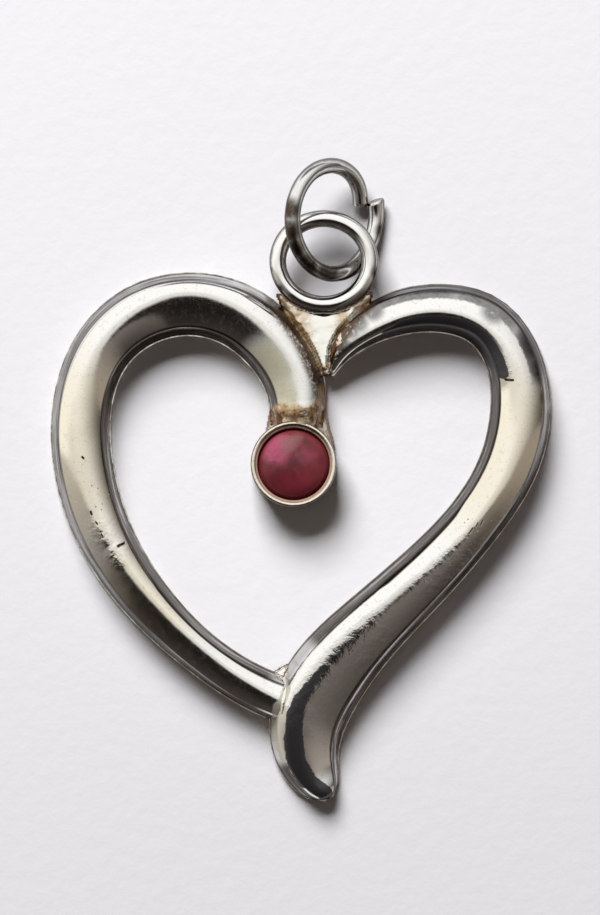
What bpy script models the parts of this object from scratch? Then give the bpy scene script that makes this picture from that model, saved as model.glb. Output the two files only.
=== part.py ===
# Open heart pendant: two hollow arms, a cabochon in a bezel cup, a soldered eye and a loose jump ring.
# It lies on its back: +Z comes out of the front, +Y points to the jump ring, z = 0 is the back.
import math

import bmesh
import bpy
import numpy as np
from mathutils import Vector

MM = 0.001

# Plan of the heart. Places are counted in squares of a grid that has this many across and along the heart,
# from the middle of the whole pendant.
HEART_WIDTH = 21.0 * MM
HEART_LENGTH = 22.1 * MM
PLAN_COUNTS = (21.0, 22.1)

# Sheet and wire
BACK_THICKNESS = 0.30 * MM
SHELL_WALL = 0.35 * MM
RIM_PROUD = 0.04 * MM
WIRE_DIAMETER = 0.68 * MM
WIRE_SIDES = 12

# Clearances
SOLDER_SEAM = 0.03 * MM
JOINT_GAP = 0.16 * MM
WELD_DISTANCE = 0.001 * MM

# Section of an arm
ARM_WIDTH = 2.45 * MM
ARM_HEIGHT = 2.00 * MM
SIDE_WALL = 0.30 * MM
SIDE_WALL_SHARE = 0.6
DOME_POWER = 2.15
ARM_STEP = 0.50 * MM
DOME_FACETS = 12
CAVITY_FACETS = 8
HOLLOW_WIDTH = 4.0 * SHELL_WALL
SOLID_END_STEPS = 2
TAIL_SHARE = 0.6

# Vent hole in each back
VENT_DIAMETER = 0.70 * MM
VENT_STATION = 7
VENT_SIDES = 16

# Cabochon
STONE_DIAMETER = 3.14 * MM
STONE_GIRDLE = 0.85 * MM
STONE_DOME = 0.85 * MM
STONE_FACETS = 8

# Bezel cup, which closes over the stone's girdle and stands at the left arm's inner end
BEZEL_WALL = 0.20 * MM
BEZEL_FLOOR = 0.30 * MM
BEZEL_GRIP = 0.57 * MM
BEZEL_LIP = 0.10 * MM
BEZEL_ASIDE = -0.14 * MM
BEZEL_OVERLAP = 0.46 * MM
ROUND_STEPS = 40

# The cup's rim in section: walls across from the inner face, walls down from the top
RIM_OUTSIDE = ((0.55, 0.0), (1.0, 0.6))
RIM_BEND = (0.0, 2.0)
RIM_LIP = ((0.0, 0.35), (0.2, 0.0))

# Eye ring, whose lowest point stands on this place of the plan
EYE_DIAMETER = 4.54 * MM
EYE_HEIGHT = 1.50 * MM
EYE_SEAT = (1.00, 6.82)

# Jump ring: one turn of wire, leaning through the eye, its two ends sprung past each other
JUMP_DIAMETER = 5.22 * MM
JUMP_ASIDE = 0.37 * MM
JUMP_DROP = 0.54 * MM
JUMP_LEAN = math.radians(42.0)
JUMP_FLOOR_GAP = 0.02 * MM
JUMP_GAP_ANGLE = math.radians(17.0)
JUMP_OPENING = math.radians(1.5)
JUMP_FIRST_END = -0.43 * MM
JUMP_SECOND_END = 0.26 * MM
JUMP_SPRUNG_SHARE = 0.22
JUMP_POINTS = 56
JUMP_BEVEL = 3

# Solder. The web's top and foot at the eye are measured down from the middle of its wire.
WEB_TOP_DROP = 0.18 * MM
WEB_FOOT_DROP = 0.80 * MM
WEB_TOP_AT_NOTCH = 0.80 * MM
WEB_EYE_ARC = (212.0, 328.0)
WEB_ARC_POINTS = 10
SOLDER_EDGE = 0.12 * MM
SOLDER_EDGE_STEPS = 2
SOLDER_FOOT = 0.06 * MM
JOINT_SOLDER_HEIGHT = 1.25 * MM
BEZEL_SOLDER_HEIGHT = 1.30 * MM

SMOOTH_ANGLE = math.radians(35.0)
NUDGE_SHARE = 0.0001

# Stations along each arm: centre across and along the plan, share of the arm's width, share of its height, and
# how far its crest leans to the side
LEFT_ARM = (
    (-0.13, 1.95, 0.857, 0.90, 0.00),
    (-0.20, 3.90, 1.012, 0.98, 0.00),
    (-1.15, 5.68, 1.094, 1.00, 0.00),
    (-2.90, 6.98, 1.086, 1.00, 0.18),
    (-4.75, 7.33, 1.061, 1.00, 0.26),
    (-6.70, 6.85, 1.049, 1.00, 0.12),
    (-8.25, 5.50, 1.000, 1.00, 0.00),
    (-9.10, 3.40, 0.988, 1.00, 0.00),
    (-9.10, 0.50, 1.000, 1.00, 0.00),
    (-8.20, -2.40, 0.939, 0.97, 0.00),
    (-6.30, -5.28, 0.816, 0.92, 0.00),
    (-3.95, -7.50, 0.714, 0.86, 0.00),
    (-1.60, -8.95, 0.755, 0.82, 0.00),
    (-0.20, -9.50, 0.776, 0.82, 0.00),
)
RIGHT_ARM = (
    (1.27, 4.35, 0.090, 0.50, 0.00),
    (1.62, 5.25, 0.388, 0.72, 0.00),
    (2.60, 6.25, 0.612, 0.88, 0.00),
    (4.05, 6.93, 0.743, 0.96, 0.00),
    (6.00, 7.15, 0.816, 1.00, 0.00),
    (7.80, 6.60, 0.886, 1.00, 0.00),
    (8.95, 5.05, 0.939, 1.00, 0.00),
    (9.28, 3.00, 1.008, 1.00, 0.00),
    (8.80, 0.65, 1.000, 1.00, 0.00),
    (7.40, -1.70, 0.951, 1.00, 0.00),
    (5.42, -3.91, 1.029, 1.00, 0.00),
    (2.90, -6.34, 1.188, 1.00, 0.00),
    (1.16, -8.34, 1.347, 1.00, 0.15),
    (0.29, -10.31, 1.286, 0.98, 0.35),
    (0.37, -11.80, 1.053, 0.88, 0.32),
    (0.80, -12.78, 0.755, 0.72, 0.20),
    (1.07, -13.22, 0.457, 0.58, 0.10),
    (1.22, -13.47, 0.147, 0.42, 0.00),
)

# Outlines of the solder on the plan, where it isn't cut back to what it joins
WEB_BELOW_EYE = (
    (3.10, 7.80), (3.30, 6.90), (1.70, 5.20), (1.36, 4.55), (0.90, 4.50), (0.40, 5.20),
    (-0.70, 6.60), (-1.25, 7.92),
)
BEZEL_SOLDER_OUTLINE = (
    (-1.12, 3.00), (-1.36, 2.72), (-1.50, 2.30), (-1.62, 1.90), (-0.90, 1.50), (0.60, 1.50),
    (1.12, 1.90), (1.08, 2.30), (1.04, 2.72), (0.80, 3.00),
)
TIP_SOLDER_OUTLINE = (
    (-1.62, -8.06), (-1.12, -7.92), (-0.62, -7.66), (-0.40, -8.00), (-0.60, -9.40),
    (-0.60, -10.25), (-1.05, -10.22), (-1.30, -10.05), (-1.45, -9.20),
)


def empty_scene():
    for old in list(bpy.data.objects):
        bpy.data.objects.remove(old, do_unlink=True)


def new_collection(name):
    collection = bpy.data.collections.new(name)
    bpy.context.scene.collection.children.link(collection)
    return collection


def principled(name, colour, roughness, metallic):
    material = bpy.data.materials.new(name)
    material.use_nodes = True
    shader = material.node_tree.nodes["Principled BSDF"]
    shader.inputs["Base Color"].default_value = (*colour, 1.0)
    shader.inputs["Roughness"].default_value = roughness
    shader.inputs["Metallic"].default_value = metallic
    return material


def add_object(name, data, material, collection):
    obj = bpy.data.objects.new(name, data)
    collection.objects.link(obj)
    if material is not None:
        data.materials.append(material)
    return obj


def hide_cutter(obj):
    obj.hide_render = True
    obj.display_type = "WIRE"
    return obj


def smooth(obj):
    obj.data.shade_smooth()
    obj.data.set_sharp_from_angle(angle=SMOOTH_ANGLE)


def cut(obj, cutter, name):
    modifier = obj.modifiers.new(name, "BOOLEAN")
    modifier.operation = "DIFFERENCE"
    modifier.solver = "EXACT"
    modifier.object = cutter


def soften(obj):
    modifier = obj.modifiers.new("soften", "BEVEL")
    modifier.width = SOLDER_EDGE
    modifier.segments = SOLDER_EDGE_STEPS


# Joins the corners that the cuts leave a rounding error apart
def weld(obj):
    modifier = obj.modifiers.new("weld", "WELD")
    modifier.merge_threshold = WELD_DISTANCE


def on_plan(across, along):
    return Vector((across * HEART_WIDTH / PLAN_COUNTS[0], along * HEART_LENGTH / PLAN_COUNTS[1], 0.0))


# Natural cubic spline through rows of values, with the distance between centres as its parameter
def spline_through(rows):
    rows = np.array(rows, dtype=float)
    steps = np.hypot(*np.diff(rows[:, :2], axis=0).T)
    knots = np.concatenate([[0.0], np.cumsum(steps)])
    count = len(rows)
    system = np.zeros((count, count))
    right = np.zeros_like(rows)
    system[0, 0] = 1.0
    system[-1, -1] = 1.0
    for i in range(1, count - 1):
        system[i, i - 1] = steps[i - 1]
        system[i, i] = 2.0 * (steps[i - 1] + steps[i])
        system[i, i + 1] = steps[i]
        right[i] = 3.0 * ((rows[i + 1] - rows[i]) / steps[i] - (rows[i] - rows[i - 1]) / steps[i - 1])
    bends = np.linalg.solve(system, right)

    def value(distance):
        i = int(np.clip(np.searchsorted(knots, distance) - 1, 0, count - 2))
        h = steps[i]
        t = distance - knots[i]
        slope = (rows[i + 1] - rows[i]) / h - h * (2.0 * bends[i] + bends[i + 1]) / 3.0
        cube = (bends[i + 1] - bends[i]) / (3.0 * h)
        return rows[i] + slope * t + bends[i] * t * t + cube * t ** 3

    return value, knots[-1]


# Even steps along an arm: centre, unit side direction, width, height and lean of the crest
def arm_sections(stations):
    rows = []
    for across, along, wide, high, lean in stations:
        place = on_plan(across, along)
        rows.append((place.x, place.y, wide * ARM_WIDTH, high * ARM_HEIGHT, lean))
    value, length = spline_through(rows)
    nudge = length * NUDGE_SHARE
    sections = []
    for distance in np.linspace(0.0, length, round(length / ARM_STEP) + 1):
        x, y, width, height, lean = value(distance)
        ahead = value(min(distance + nudge, length))
        behind = value(max(distance - nudge, 0.0))
        run = Vector((ahead[0] - behind[0], ahead[1] - behind[1], 0.0)).normalized()
        sections.append((Vector((x, y, 0.0)), Vector((run.y, -run.x, 0.0)), width, height, lean))
    return sections


# Points over the dome of one section, from one foot to the other
def dome_points(section, foot, grow, facets):
    centre, side, width, height, lean = section
    half = width / 2.0 + grow
    top = height + grow
    shoulder = min(BACK_THICKNESS + SOLDER_SEAM + SIDE_WALL, top * SIDE_WALL_SHARE)
    points = [centre + side * half + Vector((0.0, 0.0, foot))]
    for i in range(facets + 1):
        angle = math.pi * i / facets
        across = math.copysign(abs(math.cos(angle)) ** (2.0 / DOME_POWER), math.cos(angle))
        rise = math.sin(angle) ** (2.0 / DOME_POWER)
        offset = half * (across + lean * (1.0 - across * across))
        points.append(centre + side * offset + Vector((0.0, 0.0, shoulder + (top - shoulder) * rise)))
    points.append(centre - side * half + Vector((0.0, 0.0, foot)))
    return points


def loft_mesh(name, rings):
    shape = bmesh.new()
    rows = [[shape.verts.new(point) for point in ring] for ring in rings]
    count = len(rings[0])
    for first, second in zip(rows, rows[1:]):
        for i in range(count):
            j = (i + 1) % count
            shape.faces.new((first[i], first[j], second[j], second[i]))
    shape.faces.new(rows[0])
    shape.faces.new(rows[-1])
    bmesh.ops.recalc_face_normals(shape, faces=shape.faces)
    mesh = bpy.data.meshes.new(name)
    shape.to_mesh(mesh)
    shape.free()
    return mesh


# Full outer body of an arm, or of its last part, grown all round where it serves as a cutter
def arm_body(name, stations, foot, grow, material, collection, start=0.0):
    sections = arm_sections(stations)
    sections = sections[round(start * len(sections)):]
    rings = [dome_points(section, foot, grow, DOME_FACETS) for section in sections]
    return add_object(name, loft_mesh(name, rings), material, collection)


# What an arm takes up, with a clearance, so that its neighbours can be cut to it
def arm_cutter(name, stations, grow, collection, start=0.0):
    return hide_cutter(arm_body(name, stations, -ARM_HEIGHT, RIM_PROUD + grow, None, collection, start))


# Hollow inside an arm: the same sections drawn in by the wall, where they are wide enough to be hollow
def arm_cavity(name, stations, collection):
    rings = []
    for section in arm_sections(stations):
        if section[2] > HOLLOW_WIDTH:
            rings.append(dome_points(section, -BACK_THICKNESS, -SHELL_WALL, CAVITY_FACETS))
    rings = rings[SOLID_END_STEPS:-SOLID_END_STEPS]
    return hide_cutter(add_object(name, loft_mesh(name, rings), None, collection))


def arm_shell(name, stations, joints, cutters, material, collection):
    foot = BACK_THICKNESS + SOLDER_SEAM
    shell = arm_body(name, stations, foot, 0.0, material, collection)
    for joint in joints:
        cut(shell, joint, joint.name)
    cut(shell, arm_cavity(name + "_cavity", stations, cutters), "hollow")


# A flat outline given a thickness, turned into one welded mesh
def flat_piece(name, outline, low, high, material, collection):
    curve = bpy.data.curves.new(name, "CURVE")
    curve.dimensions = "2D"
    curve.fill_mode = "BOTH"
    curve.extrude = (high - low) / 2.0
    spline = curve.splines.new("POLY")
    spline.points.add(len(outline) - 1)
    for point, place in zip(spline.points, outline):
        point.co = (place.x, place.y, 0.0, 1.0)
    spline.use_cyclic_u = True
    sketch = add_object(name + "_sketch", curve, None, collection)
    sketch.location.z = (low + high) / 2.0
    return curve_to_mesh(sketch, name, material, collection)


def curve_to_mesh(sketch, name, material, collection):
    bpy.context.view_layer.update()
    seen = sketch.evaluated_get(bpy.context.evaluated_depsgraph_get())
    mesh = bpy.data.meshes.new_from_object(seen)
    mesh.name = name
    place = sketch.matrix_world.copy()
    bpy.data.objects.remove(sketch, do_unlink=True)
    shape = bmesh.new()
    shape.from_mesh(mesh)
    bmesh.ops.remove_doubles(shape, verts=shape.verts, dist=WELD_DISTANCE)
    shape.to_mesh(mesh)
    shape.free()
    mesh.materials.clear()
    obj = add_object(name, mesh, material, collection)
    obj.matrix_world = place
    return obj


# Flat sheet that closes the back of an arm, standing a little proud of the shell all round
def arm_back(name, stations, joints, cutters, material, collection):
    sections = arm_sections(stations)
    edge = []
    for sign, row in ((1.0, sections), (-1.0, sections[::-1])):
        for centre, side, width, _, _ in row:
            edge.append(centre + side * sign * (width / 2.0 + RIM_PROUD))
    back = flat_piece(name, edge, 0.0, BACK_THICKNESS, material, collection)
    for joint in joints:
        cut(back, joint, joint.name)
    cut(back, vent_drill(name + "_drill", stations, cutters), "vent")


# Drill that goes right through a back, standing out by its thickness on both sides
def vent_drill(name, stations, collection):
    place = on_plan(*stations[VENT_STATION][:2])
    bpy.ops.mesh.primitive_cylinder_add(
        vertices=VENT_SIDES, radius=VENT_DIAMETER / 2.0, depth=3.0 * BACK_THICKNESS,
        location=(place.x, place.y, BACK_THICKNESS / 2.0),
    )
    return hide_cutter(move_to(bpy.context.object, collection, name))


def move_to(obj, collection, name):
    for held in list(obj.users_collection):
        held.objects.unlink(obj)
    collection.objects.link(obj)
    obj.name = name
    obj.data.name = name
    return obj


# A closed profile of (radius, height) points turned about the vertical through a centre
def turned(name, profile, centre, closed, material, collection):
    mesh = bpy.data.meshes.new(name)
    edges = [(i, i + 1) for i in range(len(profile) - 1)]
    if closed:
        edges.append((len(profile) - 1, 0))
    mesh.from_pydata([(radius, 0.0, height) for radius, height in profile], edges, [])
    obj = add_object(name, mesh, material, collection)
    obj.location = centre
    screw = obj.modifiers.new("turn", "SCREW")
    screw.axis = "Z"
    screw.angle = math.tau
    screw.steps = ROUND_STEPS
    screw.render_steps = ROUND_STEPS
    screw.use_merge_vertices = True
    screw.merge_threshold = WELD_DISTANCE
    screw.use_smooth_shade = True
    return obj


def bezel_radius():
    return STONE_DIAMETER / 2.0 + SOLDER_SEAM + BEZEL_WALL


# The cup's circle reaches a little past the left arm's inner end, which is cut back to it
def bezel_centre():
    return on_plan(*LEFT_ARM[0][:2]) + Vector((BEZEL_ASIDE, BEZEL_OVERLAP - bezel_radius(), 0.0))


# The cup's cylinder with a clearance, taller than anything that it cuts
def bezel_cutter(name, grow, collection):
    radius = bezel_radius() + grow
    reach = 2.0 * ARM_HEIGHT
    profile = ((0.0, reach), (radius, reach), (radius, -reach), (0.0, -reach))
    return hide_cutter(turned(name, profile, bezel_centre(), False, None, collection))


def girdle_height():
    return BEZEL_FLOOR + SOLDER_SEAM + STONE_GIRDLE


def bezel_wall(material, collection):
    outer = bezel_radius()
    inner = outer - BEZEL_WALL
    top = girdle_height() + BEZEL_GRIP

    def rim(start, place):
        return start + place[0] * BEZEL_WALL, top - place[1] * BEZEL_WALL

    profile = [rim(inner, place) for place in RIM_OUTSIDE]
    profile += [(outer, 0.0), (inner, 0.0), rim(inner, RIM_BEND)]
    profile += [rim(inner - BEZEL_LIP, place) for place in RIM_LIP]
    turned("bezel_wall", profile, bezel_centre(), True, material, collection)


def bezel_seat(material, collection):
    radius = bezel_radius() - BEZEL_WALL - SOLDER_SEAM
    profile = ((0.0, BEZEL_FLOOR), (radius, BEZEL_FLOOR), (radius, 0.0), (0.0, 0.0))
    turned("bezel_seat", profile, bezel_centre(), False, material, collection)


def cabochon(material, collection):
    radius = STONE_DIAMETER / 2.0
    base = BEZEL_FLOOR + SOLDER_SEAM
    profile = [(0.0, girdle_height() + STONE_DOME)]
    for i in range(1, STONE_FACETS + 1):
        angle = math.pi / 2.0 * i / STONE_FACETS
        profile.append((radius * math.sin(angle), girdle_height() + STONE_DOME * math.cos(angle)))
    profile += [(radius, base), (0.0, base)]
    turned("stone", profile, bezel_centre(), False, material, collection)


def eye_radius():
    return (EYE_DIAMETER - WIRE_DIAMETER) / 2.0


def eye_centre():
    return on_plan(*EYE_SEAT) + Vector((0.0, EYE_DIAMETER / 2.0, EYE_HEIGHT))


# The eye's ring of wire, grown all round where it serves as a cutter
def eye_torus(name, grow, material, collection):
    bpy.ops.mesh.primitive_torus_add(
        location=eye_centre(), major_radius=eye_radius(), minor_radius=WIRE_DIAMETER / 2.0 + grow,
        major_segments=ROUND_STEPS, minor_segments=WIRE_SIDES,
    )
    ring = move_to(bpy.context.object, collection, name)
    if material is not None:
        ring.data.materials.append(material)
    return ring


def jump_radius():
    return (JUMP_DIAMETER - WIRE_DIAMETER) / 2.0


# The jump ring's low side rests just above the ground, and its lower strand runs below the eye's centre
def jump_centre():
    eye = eye_centre()
    rise = jump_radius() * math.sin(JUMP_LEAN) + WIRE_DIAMETER / 2.0 + JUMP_FLOOR_GAP
    return Vector((eye.x + JUMP_ASIDE, eye.y + jump_radius() - JUMP_DROP, rise))


# Centre line of the jump ring in its own plane, x across and y up, with the ends drawn apart
def jump_path():
    points = []
    for i in range(JUMP_POINTS):
        t = i / (JUMP_POINTS - 1)
        angle = JUMP_GAP_ANGLE + (math.tau - JUMP_OPENING) * t
        near_first = max(0.0, 1.0 - t / JUMP_SPRUNG_SHARE) ** 2
        near_second = max(0.0, 1.0 - (1.0 - t) / JUMP_SPRUNG_SHARE) ** 2
        apart = JUMP_FIRST_END * near_first + JUMP_SECOND_END * near_second
        points.append((
            jump_radius() * math.cos(angle) + apart * math.cos(JUMP_LEAN),
            jump_radius() * math.sin(angle),
            apart * math.sin(JUMP_LEAN),
        ))
    return points


def jump_ring(material, collection):
    curve = bpy.data.curves.new("jump_ring", "CURVE")
    curve.dimensions = "3D"
    curve.bevel_depth = WIRE_DIAMETER / 2.0
    curve.bevel_resolution = JUMP_BEVEL
    curve.use_fill_caps = True
    points = jump_path()
    spline = curve.splines.new("POLY")
    spline.points.add(len(points) - 1)
    for point, place in zip(spline.points, points):
        point.co = (*place, 1.0)
    ring = add_object("jump_ring", curve, material, collection)
    hinge = bpy.data.objects.new("jump_ring_hinge", None)
    collection.objects.link(hinge)
    hinge.empty_display_size = jump_radius()
    hinge.location = jump_centre()
    ring.parent = hinge
    ring.rotation_euler = (0.0, JUMP_LEAN, 0.0)


# The web's edge under the eye, along the middle of its wire
def eye_arc():
    centre = eye_centre()
    points = []
    for angle in np.radians(np.linspace(*WEB_EYE_ARC, WEB_ARC_POINTS)):
        points.append(centre + eye_radius() * Vector((math.cos(angle), math.sin(angle), 0.0)))
    return points


# Solder between the two arms and under the eye: a block that slopes down to the notch, cut by what it joins
def eye_solder(cutters, material, collection):
    top = EYE_HEIGHT - WEB_TOP_DROP
    foot = EYE_HEIGHT - WEB_FOOT_DROP
    outline = eye_arc() + [on_plan(*place) for place in WEB_BELOW_EYE]
    web = flat_piece("eye_solder_web", outline, SOLDER_FOOT, top, material, collection)
    low = min(place.y for place in outline)
    high = eye_centre().y - eye_radius()
    for vertex in web.data.vertices:
        share = min(1.0, (vertex.co.y - low) / (high - low))
        if vertex.co.z > 0.0:
            vertex.co.z -= (top - WEB_TOP_AT_NOTCH) * (1.0 - share)
        else:
            vertex.co.z += (foot - SOLDER_FOOT) * share
    soften(web)
    for cutter in cutters:
        cut(web, cutter, cutter.name)


def joint_solder(name, outline, high, cutters, material, collection):
    outline = [on_plan(*place) for place in outline]
    piece = flat_piece(name, outline, SOLDER_FOOT, high, material, collection)
    soften(piece)
    for cutter in cutters:
        cut(piece, cutter, cutter.name)


def build_pendant():
    empty_scene()
    pieces = new_collection("heart_pendant")
    cutters = new_collection("cutters")
    silver = principled("silver", (0.80, 0.78, 0.74), 0.16, 1.0)
    solder = principled("solder", (0.74, 0.62, 0.42), 0.38, 1.0)
    wire = principled("wire", (0.72, 0.71, 0.69), 0.24, 1.0)
    red_stone = principled("red_stone", (0.30, 0.02, 0.05), 0.12, 0.0)

    left_space = arm_cutter("left_space", LEFT_ARM, SOLDER_SEAM, cutters)
    right_space = arm_cutter("right_space", RIGHT_ARM, SOLDER_SEAM, cutters)
    bezel_space = bezel_cutter("bezel_space", SOLDER_SEAM, cutters)
    eye_space = hide_cutter(eye_torus("eye_space", SOLDER_SEAM, None, cutters))
    lower_joint = arm_cutter("lower_joint", RIGHT_ARM, JOINT_GAP, cutters, TAIL_SHARE)
    bezel_joint = bezel_cutter("bezel_joint", JOINT_GAP, cutters)
    solder_face = JOINT_GAP - SOLDER_SEAM
    cut(left_space, arm_cutter("lower_face", RIGHT_ARM, solder_face, cutters, TAIL_SHARE), "lower joint")
    cut(left_space, bezel_cutter("bezel_face", solder_face, cutters), "bezel joint")

    joints = (lower_joint, bezel_joint)
    arm_shell("left_arm_shell", LEFT_ARM, joints, cutters, silver, pieces)
    arm_back("left_arm_back", LEFT_ARM, joints, cutters, silver, pieces)
    arm_shell("right_arm_shell", RIGHT_ARM, (left_space,), cutters, silver, pieces)
    arm_back("right_arm_back", RIGHT_ARM, (left_space,), cutters, silver, pieces)

    bezel_wall(silver, pieces)
    bezel_seat(silver, pieces)
    cabochon(red_stone, pieces)
    eye_torus("eye_ring", 0.0, wire, pieces)
    jump_ring(wire, pieces)
    eye_solder((left_space, right_space, eye_space), solder, pieces)
    joint_solder(
        "bezel_solder", BEZEL_SOLDER_OUTLINE, BEZEL_SOLDER_HEIGHT, (left_space, bezel_space), solder, pieces,
    )
    joint_solder(
        "tip_solder", TIP_SOLDER_OUTLINE, JOINT_SOLDER_HEIGHT, (left_space, right_space), solder, pieces,
    )
    for piece in pieces.objects:
        if any(modifier.type == "BOOLEAN" for modifier in piece.modifiers):
            weld(piece)
        if piece.type == "MESH" and piece.data.polygons:
            smooth(piece)


build_pendant()
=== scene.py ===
import math

import bmesh
import bpy
import numpy as np
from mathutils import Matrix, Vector, noise


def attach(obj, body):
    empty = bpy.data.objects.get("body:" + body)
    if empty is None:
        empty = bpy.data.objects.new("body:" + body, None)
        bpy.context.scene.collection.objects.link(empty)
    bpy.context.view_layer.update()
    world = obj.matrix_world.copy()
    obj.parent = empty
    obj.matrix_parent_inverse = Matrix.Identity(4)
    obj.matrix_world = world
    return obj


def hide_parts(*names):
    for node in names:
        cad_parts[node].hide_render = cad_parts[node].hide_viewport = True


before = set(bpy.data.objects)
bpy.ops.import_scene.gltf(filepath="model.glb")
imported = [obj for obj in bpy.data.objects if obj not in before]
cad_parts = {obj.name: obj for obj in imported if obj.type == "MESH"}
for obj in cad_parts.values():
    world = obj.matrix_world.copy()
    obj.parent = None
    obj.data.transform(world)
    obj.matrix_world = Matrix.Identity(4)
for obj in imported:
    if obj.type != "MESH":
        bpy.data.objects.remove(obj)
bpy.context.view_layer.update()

mm = 0.001
sharpAngle = math.radians(50.0)  # edges sharper than this stay crisp
coreShare = 0.35                 # share of a spot's radius that it covers fully
print("frame loaded:", len(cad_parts), "nodes")


class Signal:  # a socket: arithmetic on it adds Math nodes
    def __init__(self, bench, socket):
        self.bench = bench
        self.socket = socket

    def join(self, operation, *values):
        return self.bench.add("ShaderNodeMath", {"operation": operation}, dict(enumerate(values)))

    def __add__(self, other):
        return self.join("ADD", self, other)

    def __sub__(self, other):
        return self.join("SUBTRACT", self, other)

    def __rsub__(self, other):
        return self.join("SUBTRACT", other, self)

    def __mul__(self, other):
        return self.join("MULTIPLY", self, other)

    def __truediv__(self, other):
        return self.join("DIVIDE", self, other)

    def __rtruediv__(self, other):
        return self.join("DIVIDE", other, self)

    def greater(self, other):
        return self.join("MAXIMUM", self, other)

    def unsigned(self):
        return self.join("ABSOLUTE", self)

    __radd__ = __add__
    __rmul__ = __mul__


class Bench:  # one node tree, with the dictionary of its colours and spots
    def __init__(self, owner, look):
        owner.use_nodes = True
        self.look = look
        self.tree = owner.node_tree
        self.tree.nodes.clear()

    def add(self, kind, settings=None, sockets=None, out=0):
        node = self.tree.nodes.new(kind)
        for name, value in (settings or {}).items():
            setattr(node, name, value)
        for key, value in (sockets or {}).items():
            if isinstance(value, Signal):
                self.tree.links.new(value.socket, node.inputs[key])
            else:
                node.inputs[key].default_value = value
        return Signal(self, node.outputs[out]) if node.outputs else None

    def vector(self, operation, *values, out=0):
        return self.add("ShaderNodeVectorMath", {"operation": operation}, dict(enumerate(values)), out)

    def scaled(self, place, factor):
        return self.add("ShaderNodeVectorMath", {"operation": "SCALE"}, {0: place, "Scale": factor})

    def gap(self, place, spot):
        return self.vector("DISTANCE", place, spot, out="Value")

    def parts(self, place):  # x, y and z
        first = self.add("ShaderNodeSeparateXYZ", None, {0: place})
        return [Signal(self, socket) for socket in first.socket.node.outputs]

    def inMillimetres(self):
        return self.scaled(self.add("ShaderNodeTexCoord", out="Object"), 1.0 / mm)

    # Runs smoothly from start to end while the value goes from low to high
    def ease(self, value, low, high, start=0.0, end=1.0):
        sockets = {"Value": value, "From Min": low, "From Max": high, "To Min": start, "To Max": end}
        return self.add("ShaderNodeMapRange", {"interpolation_type": "SMOOTHSTEP"}, sockets)

    def tone(self, colour):  # a socket, a name in the look or the colour itself
        if isinstance(colour, Signal):
            return colour
        return (*(self.look[colour] if isinstance(colour, str) else colour), 1.0)

    def mix(self, share, first, second):
        sockets = {0: share, 6: self.tone(first), 7: self.tone(second)}
        return self.add("ShaderNodeMix", {"data_type": "RGBA"}, sockets, out=2)

    def layered(self, colour, *coats):  # each coat says where it lies, then its colour
        for share, coat in coats:
            colour = self.mix(share, colour, coat)
        return colour

    def cloud(self, place, scale, detail=2.0, rough=0.5, warp=0.0):
        sockets = {"Vector": place, "Scale": scale, "Detail": detail, "Roughness": rough, "Distortion": warp}
        return self.add("ShaderNodeTexNoise", None, sockets)

    def cells(self, place, scale):
        return self.add("ShaderNodeTexVoronoi", None, {"Vector": place, "Scale": scale})

    def stretched(self, place, factors):
        return self.add("ShaderNodeMapping", None, {"Vector": place, "Scale": factors})

    def near(self, place, spot, inner, outer):  # 1 within inner mm of the spot, 0 past outer mm
        return self.ease(self.gap(place, spot), inner, outer, 1.0, 0.0)

    def flat(self, place):  # the same place at no height
        return self.vector("MULTIPLY", place, (1.0, 1.0, 0.0))

    def greatest(self, masks):
        total = masks[0]
        for mask in masks[1:]:
            total = total.greater(mask)
        return total

    def spots(self, plan, name):  # spots in plan: x, y and radius in mm
        return self.greatest([self.near(plan, (x, y, 0.0), radius * coreShare, radius)
                              for x, y, radius in self.look[name]])

    def path(self, plan, points):  # the same along a line through points
        masks = []
        for (x0, y0, radius), (x1, y1, _) in zip(points, points[1:]):
            run = (x1 - x0, y1 - y0, 0.0)
            pace = tuple(c / (run[0] ** 2 + run[1] ** 2) for c in run)
            away = self.vector("SUBTRACT", plan, (x0, y0, 0.0))
            along = self.vector("DOT_PRODUCT", away, pace, out="Value")
            along = self.add("ShaderNodeClamp", None, {"Value": along})
            masks.append(self.near(away, self.scaled(run, along), radius * coreShare, radius))
        return self.greatest(masks)

    def paths(self, plan, name):
        return self.greatest([self.path(plan, points) for points in self.look[name]])

    def coat(self, colour, metal, rough, relief, extra=None):  # relief in mm
        bump = self.add("ShaderNodeBump", None, {"Strength": 1.0, "Distance": mm, "Height": relief})
        sockets = {"Base Color": colour, "Metallic": metal, "Roughness": rough, "Normal": bump}
        return self.add("ShaderNodeBsdfPrincipled", None, {**sockets, **(extra or {})})

    def surface(self, shader):
        self.add("ShaderNodeOutputMaterial", None, {"Surface": shader})


def newMaterial(name, look):
    material = bpy.data.materials.new(name)
    return material, Bench(material, look)


def meshObject(name, verts, faces, material, body, slotName, nodes):
    mesh = bpy.data.meshes.new(name)
    mesh.from_pydata([tuple(v) for v in verts], [], [tuple(int(i) for i in f) for f in faces])
    shape = bmesh.new()
    shape.from_mesh(mesh)
    bmesh.ops.recalc_face_normals(shape, faces=shape.faces)
    shape.to_mesh(mesh)
    shape.free()
    mesh.shade_smooth()
    mesh.materials.append(material)
    piece = bpy.data.objects.new(name, mesh)
    bpy.context.scene.collection.objects.link(piece)
    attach(piece, body)
    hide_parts(*nodes)
    return piece


# Closed rings of points joined into a tube, which can also go round and meet itself
def tubeFaces(ringCount, ringSize, goesRound=False):
    faces = []
    for i in range(ringCount if goesRound else ringCount - 1):
        a = i * ringSize
        b = (i + 1) % ringCount * ringSize
        for j in range(ringSize):
            k = (j + 1) % ringSize
            faces.append((a + j, a + k, b + k, b + j))
    return faces


def fanFaces(start, ringSize, middle):
    return [(start + j, start + (j + 1) % ringSize, middle) for j in range(ringSize)]


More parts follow.
